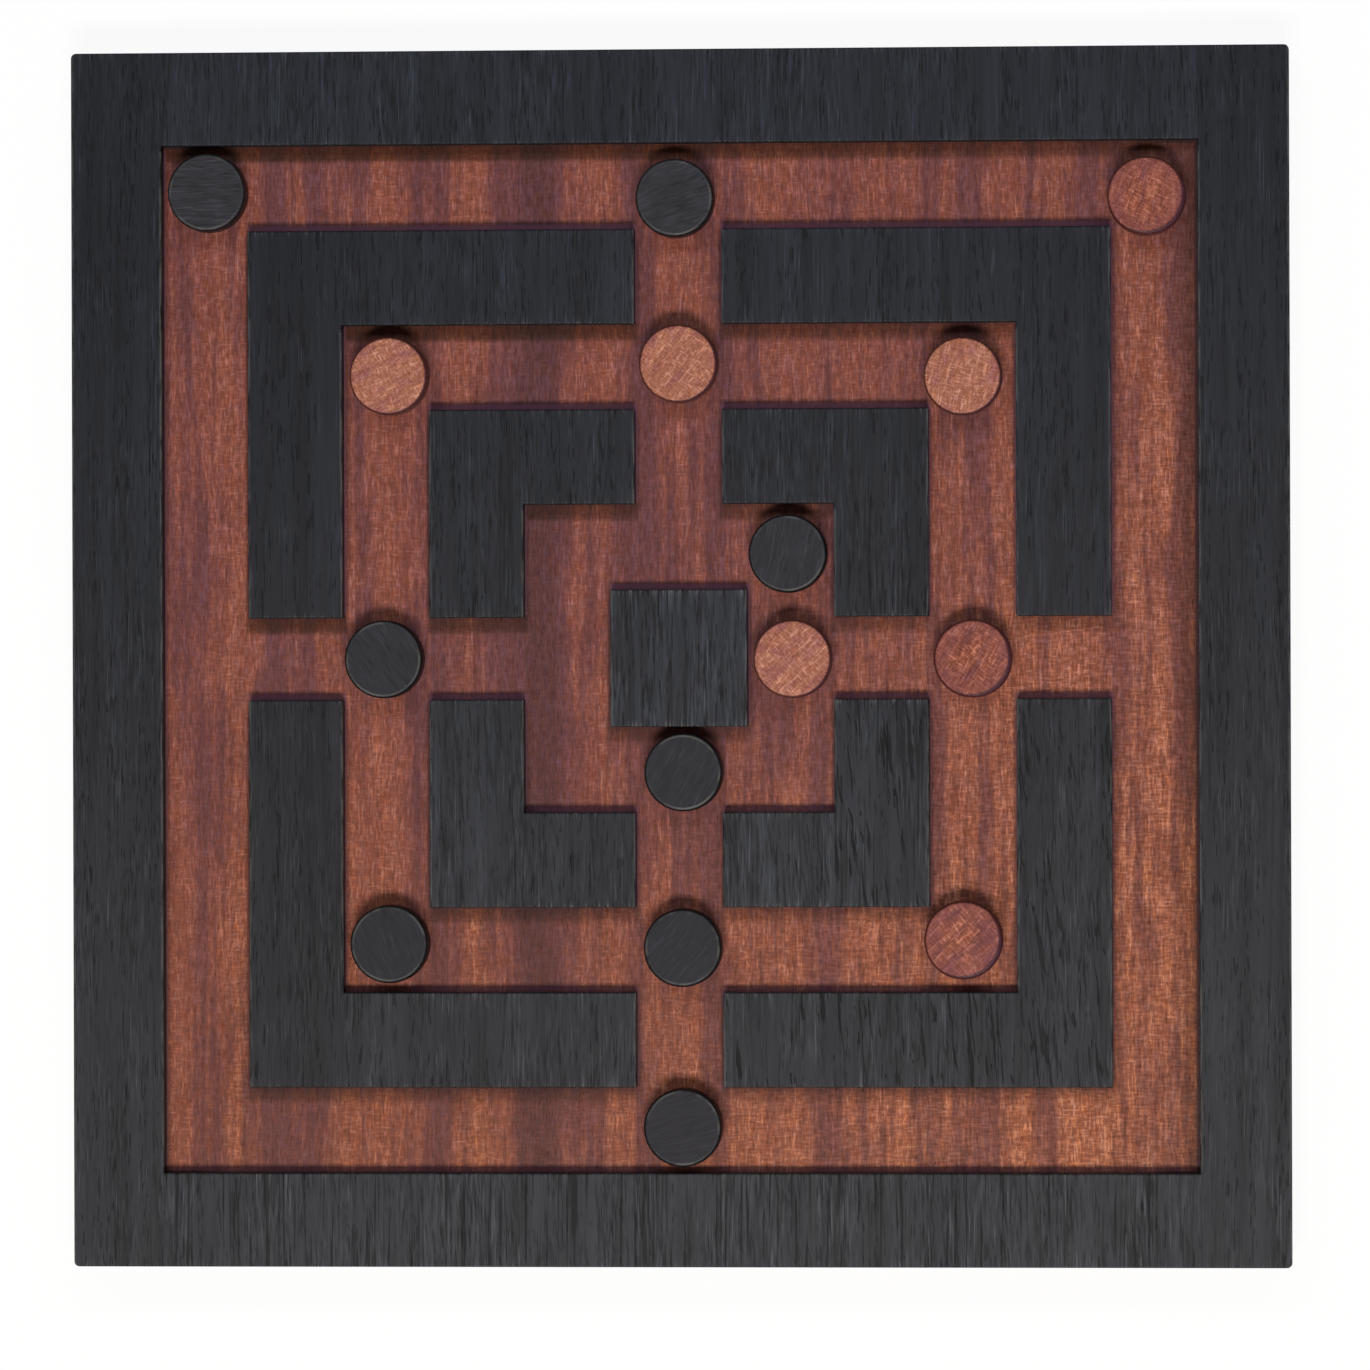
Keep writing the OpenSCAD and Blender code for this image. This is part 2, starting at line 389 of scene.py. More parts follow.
@dataclass(frozen=True)
class EbonisedOak:
    """Oak stained black, with its grain up the board: open pores, combed streaks and worn edges.

    Attributes:
        box: The strip's two corners, in metres.
        butted: The strips that meet it in a seam, where no edge can wear.
    """

    name: str
    seed: float
    box: tuple[Vector, Vector]
    butted: tuple[str, ...]
    plank: Plank
    blue_black: Colour = srgb(31, 35, 43.5)
    slate: Colour = srgb(54, 56.5, 61)
    worn: Colour = srgb(112, 110, 110)
    painted_foot_shade: Colour = srgb(22, 12, 10)

    HAIR = Grain(0.50, 7.5, 0.0, 3.0)
    COMB = Grain(1.2, 34.0, 3.0, 2.0)
    BAND = Grain(5.0, 110.0, 7.0)
    PATCH = Grain(7.0, 24.0, 5.0)
    EARLY_WOOD = Grain(1.9, 60.0, 11.0)
    DASH = Grain(0.55, 6.5, 13.0)
    RING = Grain(0.95, 42.0, 31.0)
    FLECK = Grain(0.42, 15.0, 19.0)
    WANDER = Grain(2.6, 7.0, 2.0, 2.0)
    LONG_CRACK = Grain(1.00, 24.0, 17.0)
    SHORT_CRACK = Grain(0.75, 6.0, 27.0)
    CLUSTER = Grain(7.0, 22.0, 23.0)
    PORES = 0.8
    WEAR = 0.5
    SPECULAR = 0.22
    PORE_DEPTH = 0.12 * MM

    def material(self) -> bpy.types.Material:
        """Builds the stained finish, with painted sheen towards the south and painted shade down the walls.

        Returns:
            The material.
        """
        bench = Workbench(self.name)
        point = bench.place()
        hair = bench.strokes(point, self.HAIR, self.seed)
        comb = bench.strokes(point, self.COMB, self.seed)
        level, pore = self.figure(bench, point, hair, comb)
        x, y, z = bench.axes(point)
        # Painted sheen: the black turns greyer and lighter towards the south, standing in for the south
        # lamp's sheen.
        painted_sheen_slope = bench.math("MULTIPLY_ADD", x, 0.10, bench.times(y, -1.0))
        tone = bench.mix(bench.span(painted_sheen_slope, -170.0, 190.0), self.blue_black, self.slate)
        colour = bench.tint(tone, bench.grey(level))
        colour = bench.mix(self.worn_share(bench, point, hair), colour, self.worn)
        # Painted shade down the upright walls, darkest at their foot.
        painted_foot_shade = bench.times(bench.wall(), bench.span(z, 12.0, 16.6, 0.75, 0.35))
        colour = bench.mix(painted_foot_shade, colour, self.painted_foot_shade)
        roughness = bench.span(comb, 0.3, 0.7, 0.50, 0.66)
        height = bench.math("SUBTRACT", bench.times(hair, 0.5), pore)
        return bench.finish(colour, roughness, height, self.PORE_DEPTH, self.SPECULAR)

    def figure(self, bench: Workbench, point: Socket, hair: Socket, comb: Socket) -> tuple[Socket, Socket]:
        """Lays the oak's streaks, pores, rings and flecks over one another.

        Args:
            bench: The material being wired.
            point: The point in millimetres.
            hair: The fine streaks.
            comb: The combed streaks.

        Returns:
            The brightness round one, and where the pores are.
        """
        band = bench.strokes(point, self.BAND, self.seed)
        patch = bench.span(bench.strokes(point, self.PATCH, self.seed), 0.40, 0.62, 0.35, 1.6)
        fine = bench.times(bench.math("SUBTRACT", hair, 0.5), patch)
        level = bench.total((comb, 1.1 * self.plank.streaks), (band, 1.2))
        level = bench.math("MULTIPLY_ADD", fine, 1.9 * self.plank.streaks, level)
        level = bench.math("MAXIMUM", level, 0.3)
        early = bench.span(bench.strokes(point, self.EARLY_WOOD, self.seed), 0.42, 0.60)
        dash = bench.span(bench.strokes(point, self.DASH, self.seed), 0.58, 0.68)
        open_pores = self.PORES - 0.4 * self.plank.coarse
        pore = bench.times(bench.times(dash, early), open_pores)
        level = bench.times(level, bench.math("MULTIPLY_ADD", pore, -0.66, 1.0))
        if self.plank.coarse:
            crack = bench.times(self.cracks(bench, point), self.plank.coarse)
            pore = bench.math("MAXIMUM", pore, crack)
            level = bench.times(level, bench.math("MULTIPLY_ADD", crack, -0.82, 1.0))
        ring = bench.span(bench.strokes(point, self.RING, self.seed), 0.56, 0.66)
        level = bench.times(level, bench.math("MULTIPLY_ADD", ring, -self.plank.rings, 1.0))
        fleck = bench.span(bench.strokes(point, self.FLECK, self.seed), 0.60, 0.72)
        fleck = bench.times(fleck, bench.span(patch, 0.5, 1.4, 0.3, 1.0))
        level = bench.math("MULTIPLY_ADD", fleck, 1.2, level)
        return bench.times(level, self.plank.depth), pore

    def cracks(self, bench: Workbench, point: Socket) -> Socket:
        """Where the coarse pores run together into dark cracks, which wander up the strip.

        Args:
            bench: The material being wired.
            point: The point in millimetres.

        Returns:
            The share.
        """
        x, y, z = bench.axes(point)
        wander = bench.math("SUBTRACT", bench.strokes(point, self.WANDER), 0.5)
        leaning = bench.math("MULTIPLY_ADD", y, 0.10, bench.math("MULTIPLY_ADD", wander, 1.6, x))
        bent = bench.node("ShaderNodeCombineXYZ")
        for socket, value in zip(bent.inputs, (leaning, y, z)):
            bench.feed(socket, value)
        long = bench.span(bench.strokes(bent.outputs[0], self.LONG_CRACK, self.seed), 0.61, 0.645)
        short = bench.span(bench.strokes(bent.outputs[0], self.SHORT_CRACK, self.seed), 0.68, 0.72)
        cluster = bench.span(bench.strokes(point, self.CLUSTER, self.seed), 0.40, 0.52)
        return bench.times(bench.math("MAXIMUM", long, short), cluster)

    def worn_share(self, bench: Workbench, point: Socket, hair: Socket) -> Socket:
        """Where the staining is rubbed off the free edges: dashes at fibre ends, a thin line along the
        fibres.

        Args:
            bench: The material being wired.
            point: The point in millimetres.
            hair: The fine streaks.

        Returns:
            The share of bare wood.
        """
        axes = bench.axes(point)
        share: Socket | float = 0.0
        for side in Side:
            axis, way = side.value
            edge = self.box[1 if way > 0 else 0][axis] / MM
            inward = bench.times(bench.math("SUBTRACT", edge, axes[axis]), float(way))
            if side.end_grain:
                reach = bench.span(inward, 0.0, 2.2, self.plank.frayed, 0.0)
                line = bench.times(reach, bench.span(hair, 0.54, 0.68))
            else:
                reach = bench.span(inward, 0.1, 0.9, 1.0, 0.0)
                line = bench.times(reach, bench.span(hair, 0.36, 0.60))
            share = bench.math("MAXIMUM", share, line)
        for neighbour in self.butted:
            share = bench.times(share, bench.span(bench.gap(point, *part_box(neighbour)), 1.0, 2.4))
        return bench.times(share, self.WEAR)


@dataclass(frozen=True)
class RibbonSapele:
    """Sapele cut on the quarter: ribbons that shift from orange to plum, a cross mottle and short pores.

    Attributes:
        warm: The wood between its ribbons, which turns golden where painted light lifts it.
        plum: The wood in its ribbons, which turns rosy there.
        turn: Degrees by which the grain is turned.
        ribbon: Width and length of a ribbon, in millimetres.
        cloud: Width and length of a cloud.
        stroke: Width and length of a fibre.
        swing: Strength of the mottle.
        weave: Strength of what runs across the grain.
        tint: Strength of the shift between red and blue.
    """

    name: str
    seed: float
    warm: Colour
    plum: Colour
    golden: Colour
    rosy: Colour
    turn: float = 0.0
    centre: tuple[float, float] = (0.0, 0.0)
    ribbon: Span = (9.0, 126.0)
    cloud: Span = (22.0, 34.0)
    stroke: Span = (0.60, 3.0)
    swing: float = 1.0
    weave: float = 0.8
    tint: float = 1.0

    VEIN = Grain(1.5, 16.0, 16.0, 2.0)
    STRIPE = Grain(3.4, 70.0, 22.0)
    THREAD = Grain(0.52, 3.6, 12.0)
    FLOSS = Grain(2.4, 0.5, 18.0)
    DASH = Grain(0.50, 3.4, 10.0)
    TINT = Grain(0.9, 3.0, 20.0, 2.0)
    FIGURE_SHEEN_GAINS = (0.50, 0.84, 1.10)
    DULL_GAINS = (0.34, 0.40, 0.48)
    TINT_GAINS = (-0.35, 0.15, 1.20)
    SPECULAR = 0.25
    PORE_DEPTH = 0.05 * MM

    def wood(self, bench: Workbench, painted_lift: Socket | float = 0.0, dip: Socket | float = 0.0
             ) -> tuple[Socket, Socket, Socket]:
        """Wires the bare wood.

        Args:
            bench: The material being wired.
            painted_lift: How far painted light turns the wood golden and livelier at a point, from 0 to 1.
            dip: How far a plum ribbon covers a point, from 0 to 1.

        Returns:
            Its colour, its roughness and its height.
        """
        point = bench.place(self.turn, self.centre)
        vein = bench.strokes(point, self.VEIN, self.seed)
        side = bench.total(
            (bench.strokes(point, Grain(*self.ribbon), self.seed), 0.7),
            (bench.strokes(point, Grain(*self.cloud, 2.0, 2.0), self.seed), 0.3),
            (vein, 0.35),
            (bench.strokes(point, self.STRIPE, self.seed), 0.45)
        )
        side = bench.math("SUBTRACT", side, bench.times(dip, 0.25))
        dusk = bench.span(dip, 1.0, 1.8, 1.0, 0.72) if isinstance(dip, Socket) else 1.0
        warm = bench.mix(painted_lift, self.warm, self.golden)
        colour = bench.mix(bench.span(side, 0.77, 1.09), bench.mix(painted_lift, self.plum, self.rosy), warm)
        colour = bench.tint(colour, bench.grey(dusk))
        ripple, upright, dash = self.mottle(bench, point, vein, side, painted_lift)
        # The figure's bright side turns paler, a painted sheen on the wood's own figure; its darker side is
        # the figure alone.
        colour = bench.tint(colour, bench.gains(bench.math("MAXIMUM", ripple, 0.0), self.FIGURE_SHEEN_GAINS))
        colour = bench.tint(colour, bench.gains(bench.math("MINIMUM", ripple, 0.0), self.DULL_GAINS))
        tint = bench.math("SUBTRACT", bench.strokes(point, self.TINT, self.seed), 0.5)
        colour = bench.tint(colour, bench.gains(tint, tuple(gain * self.tint for gain in self.TINT_GAINS)))
        roughness = bench.span(upright, -0.4, 0.4, 0.42, 0.60)
        height = bench.math("SUBTRACT", bench.times(upright, 0.4), dash)
        return colour, roughness, height

    def mottle(self, bench: Workbench, point: Socket, vein: Socket, side: Socket, painted_lift: Socket | float
               ) -> tuple[Socket, Socket, Socket]:
        """Wires the fibres, their cross weave, the threads that catch the light and the short pores.

        Args:
            bench: The material being wired.
            point: The point in millimetres.
            vein: The veins up the board.
            side: Which side of a ribbon shows: plum below one, warm above.
            painted_lift: How lively painted light makes the wood at a point, from 0 to 1.

        Returns:
            The swing in brightness, the fibres alone and the pores.
        """
        across, along = self.stroke
        fibres = bench.strokes(point, Grain(across, along, 4.0, 2.0), self.seed)
        upright = bench.span(fibres, 0.30, 0.70, -0.5, 0.5)
        weave = bench.strokes(point, Grain(along, across, 6.0, 2.0), self.seed)
        cross = bench.span(weave, 0.30, 0.70, -0.5, 0.5)
        if isinstance(painted_lift, Socket):
            cross = bench.times(cross, bench.span(painted_lift, 0.0, 0.6, 0.5, 1.05))
        ripple = bench.math("MULTIPLY_ADD", cross, 0.9 * self.weave, bench.times(upright, 0.9))
        ripple = bench.math("MULTIPLY_ADD", bench.math("SUBTRACT", vein, 0.5), 1.5, ripple)
        # Painted glints: fine threads and cross floss that catch the light.
        thread = bench.span(bench.strokes(point, self.THREAD, self.seed), 0.57, 0.70)
        floss = bench.span(bench.strokes(point, self.FLOSS, self.seed), 0.58, 0.71, 0.0, self.weave)
        thread = bench.math("MAXIMUM", thread, floss)
        thread = bench.times(thread, bench.span(side, 0.85, 1.05, 0.35, 1.0))
        dash = bench.span(bench.strokes(point, self.DASH, self.seed), 0.60, 0.70)
        ripple = bench.math("MULTIPLY_ADD", dash, -0.25, ripple)
        ripple = bench.math("MULTIPLY_ADD", thread, 1.10, ripple)
        lively = bench.times(bench.math("MULTIPLY_ADD", painted_lift, 0.45, 1.0), self.swing)
        return bench.times(ripple, lively), upright, dash


@dataclass(frozen=True)
class TurnedSapele(RibbonSapele):
    """A red man's sapele: bright on its face, with painted shade on its rounded rim and down its wall, where
    its end grain is also darker.

    Attributes:
        radius: The man's radius, in millimetres.
        edge_shade: How far painted shade darkens the face towards its edge, reaching furthest in on the
            south-east.
        shade_crescent: How much broader the painted shade on the rim is on the south-east.
    """

    radius: float = 10.0
    edge_shade: float = 0.0
    shade_crescent: float = 0.1

    # Painted shade: the wall, the face's edge and the rim, with a bluer rim on the shaded south-east side.
    WALL = srgb(62, 27, 24)
    FACE_EDGE = srgb(118, 62, 66)
    PAINTED_RIM = srgb(66, 28, 28)
    SHADY_RIM = srgb(56, 26, 46)

    def material(self) -> bpy.types.Material:
        """Builds the oiled finish, with painted shade on the rim, the face's edge and the wall.

        Returns:
            The material.
        """
        bench = Workbench(self.name)
        colour, roughness, height = self.wood(bench)
        place = bench.place(0.0, self.centre)
        x, y, _ = bench.axes(place)
        # Darker down the wall: partly its end grain, partly painted shade.
        colour = bench.mix(bench.times(bench.wall(), 0.45), colour, self.WALL)
        # The south-east side, where the painted shade reaches further.
        shade_side = bench.math("MULTIPLY_ADD", x, 0.8, bench.times(y, -0.65))
        shade_side = bench.math("MAXIMUM", bench.times(shade_side, 1 / self.radius), 0.0)
        out = bench.span(bench.math("MULTIPLY_ADD", shade_side, 1.5, bench.radius(place)), 3.0, 9.5)
        colour = bench.mix(bench.times(out, self.edge_shade), colour, self.FACE_EDGE)
        reach = bench.math("MULTIPLY_ADD", shade_side, self.shade_crescent, bench.radius(place))
        rim = bench.span(reach, self.radius - 0.75, self.radius - 0.30, 0.0, 0.85)
        level = bench.math("ABSOLUTE", bench.axes(bench.facing())[2])
        rim = bench.times(rim, bench.span(level, 0.02, 0.35, 0.45, 1.0))
        colour = bench.mix(rim, colour, bench.mix(shade_side, self.PAINTED_RIM, self.SHADY_RIM))
        return bench.finish(colour, roughness, height, self.PORE_DEPTH, self.SPECULAR)


@dataclass(frozen=True)
class Ribbon:
    """One broad ribbon up the panel, in millimetres from its middle."""

    place: float
    half_width: float
    depth: float = 1.0


@dataclass(frozen=True)
class Margin:
    """A margin of painted shade along the strips, in millimetres.

    Attributes:
        creep: How much further it reaches east and north of a strip.
        full: Up to this distance it shows in full.
        out: From this distance it shows no more.
    """

    creep: Span
    full: float
    out: float


@dataclass(frozen=True)
class Heart:
    """The plum heart of the panel: a round patch, in millimetres, that fades out between two radii."""

    centre: Span
    fade: Span
    depth: float


@dataclass(frozen=True)
class ShadeMarginSapele(RibbonSapele):
    """The panel's sapele, with painted shade along the strips: a painted shadow on their south sides and a
    plum tint of painted shade on their north sides.

    Attributes:
        strips: The strips of the north-east quarter, which stand for all.
        ribbons: The plum ribbons.
        glints: The golden ribbons, painted glints that are strongest in the south.
        heart: The plum heart.
        line: The thin dark line at the strips' feet, painted contact shade.
        north_shade_tint: The plum tint of painted shade on their north sides.
        south_shadow_tint: What the painted shadow on their south sides multiplies the wood by.
        shade: The same for the painted contact shade just south of the strips, in the south.
        southern: The same for the yellower tint towards the south-west.
    """

    strips: tuple[str, ...] = ()
    ribbons: tuple[Ribbon, ...] = ()
    glints: tuple[Ribbon, ...] = ()
    heart: Heart = Heart((0.0, 0.0), (10.0, 20.0), 0.0)
    line: Colour = srgb(50, 22, 25)
    north_shade_tint: Colour = srgb(122, 76, 100)
    south_shadow_tint: Colour = (0.36, 0.28, 0.12)
    shade: Colour = (0.62, 0.58, 0.60)
    southern: Colour = (1.0, 0.98, 0.76)

    WANDER = Grain(60.0, 50.0, 12.0, 2.0)
    SOUTH_SHADOW_MARGIN = Margin((0.0, -3.3), 0.0, 1.7)
    SHADE_MARGIN = Margin((0.0, -0.7), 0.0, 2.0)
    NORTH_SHADE_MARGIN = Margin((0.0, 1.2), 0.0, 0.8)
    CONTACT_SHADE_MARGIN = Margin((-0.35, -0.1), 0.25, 0.85)

    def material(self) -> bpy.types.Material:
        """Builds the oiled finish with its margins of painted shade and its painted light.

        Returns:
            The material.
        """
        bench = Workbench(self.name)
        point = bench.place()
        x, y, _ = bench.axes(point)
        across = self.across(bench, point)
        # Painted light: the wood grows brighter, more golden and livelier towards the south-east, and
        # painted glints, strongest in the south, raise it further.
        painted_light_slope = bench.math("MULTIPLY_ADD", x, 1.1, bench.times(y, -0.7))
        painted_glint = self.ribbon_share(bench, across, self.glints)
        painted_glint = bench.times(painted_glint, bench.span(y, -150.0, 100.0, 1.0, 0.35))
        painted_lift = bench.math("MAXIMUM", bench.span(painted_light_slope, -20.0, 210.0), painted_glint)
        heart = self.heart_share(bench, across, y)
        plum = bench.math("MAXIMUM", heart, self.ribbon_share(bench, across, self.ribbons))
        colour, roughness, height = self.wood(bench, painted_lift, plum)
        colour = self.paint_shade_margins(bench, point, colour)
        return bench.finish(colour, roughness, height, self.PORE_DEPTH, self.SPECULAR)

    def paint_shade_margins(self, bench: Workbench, point: Socket, colour: Socket) -> Socket:
        """Lays the margins of painted shade over the wood, which keep to the panel's top face, and a
        yellower tint towards the south-west.

        Args:
            bench: The material being wired.
            point: The point in millimetres.
            colour: The bare wood.

        Returns:
            The stained wood.
        """
        x, y, z = bench.axes(point)
        top = bench.span(z, 11.3, 11.9)
        # Painted shadow on the strips' south sides, deepest towards the north-west, and in the lane beside
        # the right stile.
        corner = bench.math("MULTIPLY_ADD", x, 0.9, bench.times(y, -1.0))
        corner = bench.span(corner, -200.0, 200.0, 1.0, 0.15)
        south_shadow_tint = bench.times(self.near(bench, point, self.SOUTH_SHADOW_MARGIN), corner)
        south_shadow_tint = bench.math("MAXIMUM", south_shadow_tint, bench.span(x, 129.0, 139.5, 0.0, 0.85))
        colour = bench.tint(colour, self.south_shadow_tint, bench.times(south_shadow_tint, top))
        # Painted contact shade just south of the strips, in the south of the board.
        shade = self.near(bench, point, self.SHADE_MARGIN)
        shade = bench.times(shade, bench.span(y, -120.0, 40.0, 0.9, 0.0))
        colour = bench.tint(colour, self.shade, shade)
        south = bench.span(y, -140.0, 40.0, 1.0, 0.0)
        south = bench.times(south, bench.span(x, -100.0, 100.0, 1.0, 0.5))
        colour = bench.tint(colour, self.southern, south)
        # Painted shade: a plum tint just north of the strips, stronger towards the north.
        upper = bench.times(bench.span(y, -100.0, 40.0, 0.35, 0.70), top)
        north_shade_tint = bench.times(self.near(bench, point, self.NORTH_SHADE_MARGIN), upper)
        colour = bench.mix(north_shade_tint, colour, self.north_shade_tint)
        # Painted contact shade: a thin dark line at the strips' feet, strongest beside the stiles and in the
        # south.
        stiles = bench.span(bench.math("ABSOLUTE", x), 120.0, 132.0, 0.25, 0.9)
        stiles = bench.math("MAXIMUM", stiles, bench.span(y, -110.0, -30.0, 0.35, 0.0))
        line = bench.times(self.near(bench, point, self.CONTACT_SHADE_MARGIN), stiles)
        line = bench.times(line, bench.span(z, 10.8, 11.8, 0.35, 1.0))
        return bench.mix(line, colour, self.line)

    def across(self, bench: Workbench, point: Socket) -> Socket:
        """How far across the board a point lies, counted along its wandering ribbons.

        Args:
            bench: The material being wired.
            point: The point in millimetres.

        Returns:
            The distance east of the middle.
        """
        wander = bench.math("SUBTRACT", bench.strokes(point, self.WANDER, self.seed), 0.5)
        return bench.math("ADD", bench.axes(point)[0], bench.times(wander, 14.0))

    def heart_share(self, bench: Workbench, across: Socket, y: Socket) -> Socket:
        """How much of the dark heart shows.

        Args:
            bench: The material being wired.
            across: How far across the board the point lies.
            y: How far up the board it lies.

        Returns:
            The share.
        """
        legs = [
            bench.math("POWER", bench.math("ABSOLUTE", bench.math("SUBTRACT", value, middle)), 2.0)
            for value, middle in zip((across, y), self.heart.centre)
        ]
        out = bench.math("SQRT", bench.math("ADD", *legs))
        return bench.span(out, *self.heart.fade, self.heart.depth, 0.0)

    def ribbon_share(self, bench: Workbench, across: Socket, ribbons: tuple[Ribbon, ...]) -> Socket:
        """How much of a set of ribbons shows.

        Args:
            bench: The material being wired.
            across: How far across the board the point lies.
            ribbons: The ribbons.

        Returns:
            The share.
        """
        share: Socket | float = 0.0
        for ribbon in ribbons:
            away = bench.math("ABSOLUTE", bench.math("SUBTRACT", across, ribbon.place))
            part = bench.span(away, 0.0, ribbon.half_width, ribbon.depth, 0.0)
            share = bench.math("MAXIMUM", part, share)
        return share

    def near(self, bench: Workbench, point: Socket, margin: Margin) -> Socket:
        """How much a margin along the strips shows. The board is the same in its four quarters.

        Args:
            bench: The material being wired.
            point: The point in millimetres.
            margin: The margin.

        Returns:
            The share.
        """
        moved = bench.node("ShaderNodeVectorMath", operation="SUBTRACT")
        bench.feed(moved.inputs[0], point)
        moved.inputs[1].default_value = (*margin.creep, 0.0)
        folded = bench.node("ShaderNodeVectorMath", operation="ABSOLUTE")
        bench.feed(folded.inputs[0], moved.outputs["Vector"])
        nearest: Socket | None = None
        for strip in self.strips:
            gap = bench.gap(folded.outputs["Vector"], *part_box(strip))
            nearest = gap if nearest is None else bench.math("MINIMUM", nearest, gap)
        return bench.span(nearest, margin.full, margin.out, 1.0, 0.0)


@dataclass(frozen=True)
class PolishedEbony:
    """A dark man: sanded almost smooth, with faint scratches across its face, painted shade at its very edge
    and a painted highlight on its rim just inside.
    """

    name: str
    seed: float
    tone: Colour
    turn: float
    centre: tuple[float, float]
    radius: float

    HAIR = Grain(0.8, 5.0, 0.0, 2.0)
    CLOUD = Grain(3.5, 12.0, 2.0, 2.0)
    SCRATCH = Grain(0.40, 8.0, 4.0)
    GROOVE = Grain(0.45, 6.0, 8.0)
    GLEAM = Grain(8.0, 8.0, 6.0, 2.0)
    # Painted highlight: the pale rim.
    PAINTED_RIM = srgb(96, 96, 92)
    SPECULAR = 0.25
    SCRATCH_DEPTH = 0.03 * MM

    def material(self) -> bpy.types.Material:
        """Builds the sanded finish, with painted shade and a painted highlight at the edge.

        Returns:
            The material.
        """
        bench = Workbench(self.name)
        point = bench.place(self.turn, self.centre)
        hair = bench.strokes(point, self.HAIR, self.seed)
        cloud = bench.strokes(point, self.CLOUD, self.seed)
        scratch = bench.span(bench.strokes(point, self.SCRATCH, self.seed), 0.60, 0.68)
        groove = bench.span(bench.strokes(point, self.GROOVE, self.seed), 0.60, 0.68)
        level = bench.total((hair, 1.1), (cloud, 0.8))
        level = bench.math("MULTIPLY_ADD", scratch, 0.8, bench.math("MULTIPLY_ADD", groove, -0.4, level))
        inward = bench.math("SUBTRACT", self.radius, bench.radius(point))
        # Painted shade darkens the outermost half millimetre of the face; a painted highlight, broken by the
        # gleam, runs just inside it.
        level = bench.math("SUBTRACT", level, bench.span(inward, 0.15, 0.55, 0.8, 0.0))
        rim = bench.times(bench.span(inward, 0.85, 1.15, 1.0, 0.0), bench.span(inward, 0.35, 0.60))
        gleam = bench.span(bench.strokes(point, self.GLEAM, self.seed), 0.46, 0.62, 0.1, 0.6)
        colour = bench.tint(self.tone, bench.grey(bench.math("MAXIMUM", level, 0.15)))
        colour = bench.mix(bench.times(rim, gleam), colour, self.PAINTED_RIM)
        roughness = bench.span(hair, 0.3, 0.7, 0.42, 0.55)
        return bench.finish(colour, roughness, hair, self.SCRATCH_DEPTH, self.SPECULAR)


@dataclass
class Panel:
    """The sapele panel under the whole board."""

    node: str = "panel"
    strips: tuple[str, ...] = (
        "outer_leg_top_right", "outer_arm_top_right", "inner_leg_top_right", "inner_arm_top_right",
        "centre_block", "right_stile", "top_rail"
    )

    def dress(self) -> None:
        """Gives the panel its oiled finish, with painted shade along the strips and painted light towards
        the south-east.
        """
        ribbons = (
            Ribbon(-130.0, 7.0, 0.38), Ribbon(-109.0, 5.0, 1.1), Ribbon(-98.0, 4.0, 1.0),
            Ribbon(-69.0, 7.0, 0.8), Ribbon(-39.0, 15.0, 1.8), Ribbon(-11.0, 5.0, 0.8),
            Ribbon(9.5, 5.0, 0.8), Ribbon(38.0, 7.0, 0.6), Ribbon(65.0, 6.0, 0.9), Ribbon(78.0, 10.0, 0.75),
            Ribbon(95.0, 6.0, 0.35), Ribbon(117.0, 6.0, 0.7), Ribbon(134.0, 8.0, 0.8)
        )
        glints = (
            Ribbon(-119.0, 6.0, 0.5), Ribbon(-90.0, 6.0, 0.4), Ribbon(-80.0, 5.0, 0.4),
            Ribbon(-57.0, 7.0, 0.7), Ribbon(-20.0, 5.0, 0.5), Ribbon(0.0, 5.0, 0.35), Ribbon(22.0, 5.0, 0.5)
        )
        finish = ShadeMarginSapele(
            "panel_sapele", 3.0, warm=srgb(130, 70, 57), plum=srgb(104, 57, 58), golden=srgb(154, 87, 61),
            rosy=srgb(119, 65, 55), strips=self.strips, ribbons=ribbons, glints=glints,
            heart=Heart((-19.0, -11.0), (20.0, 75.0), 0.53)
        )
        put_on(self.node, finish.material())


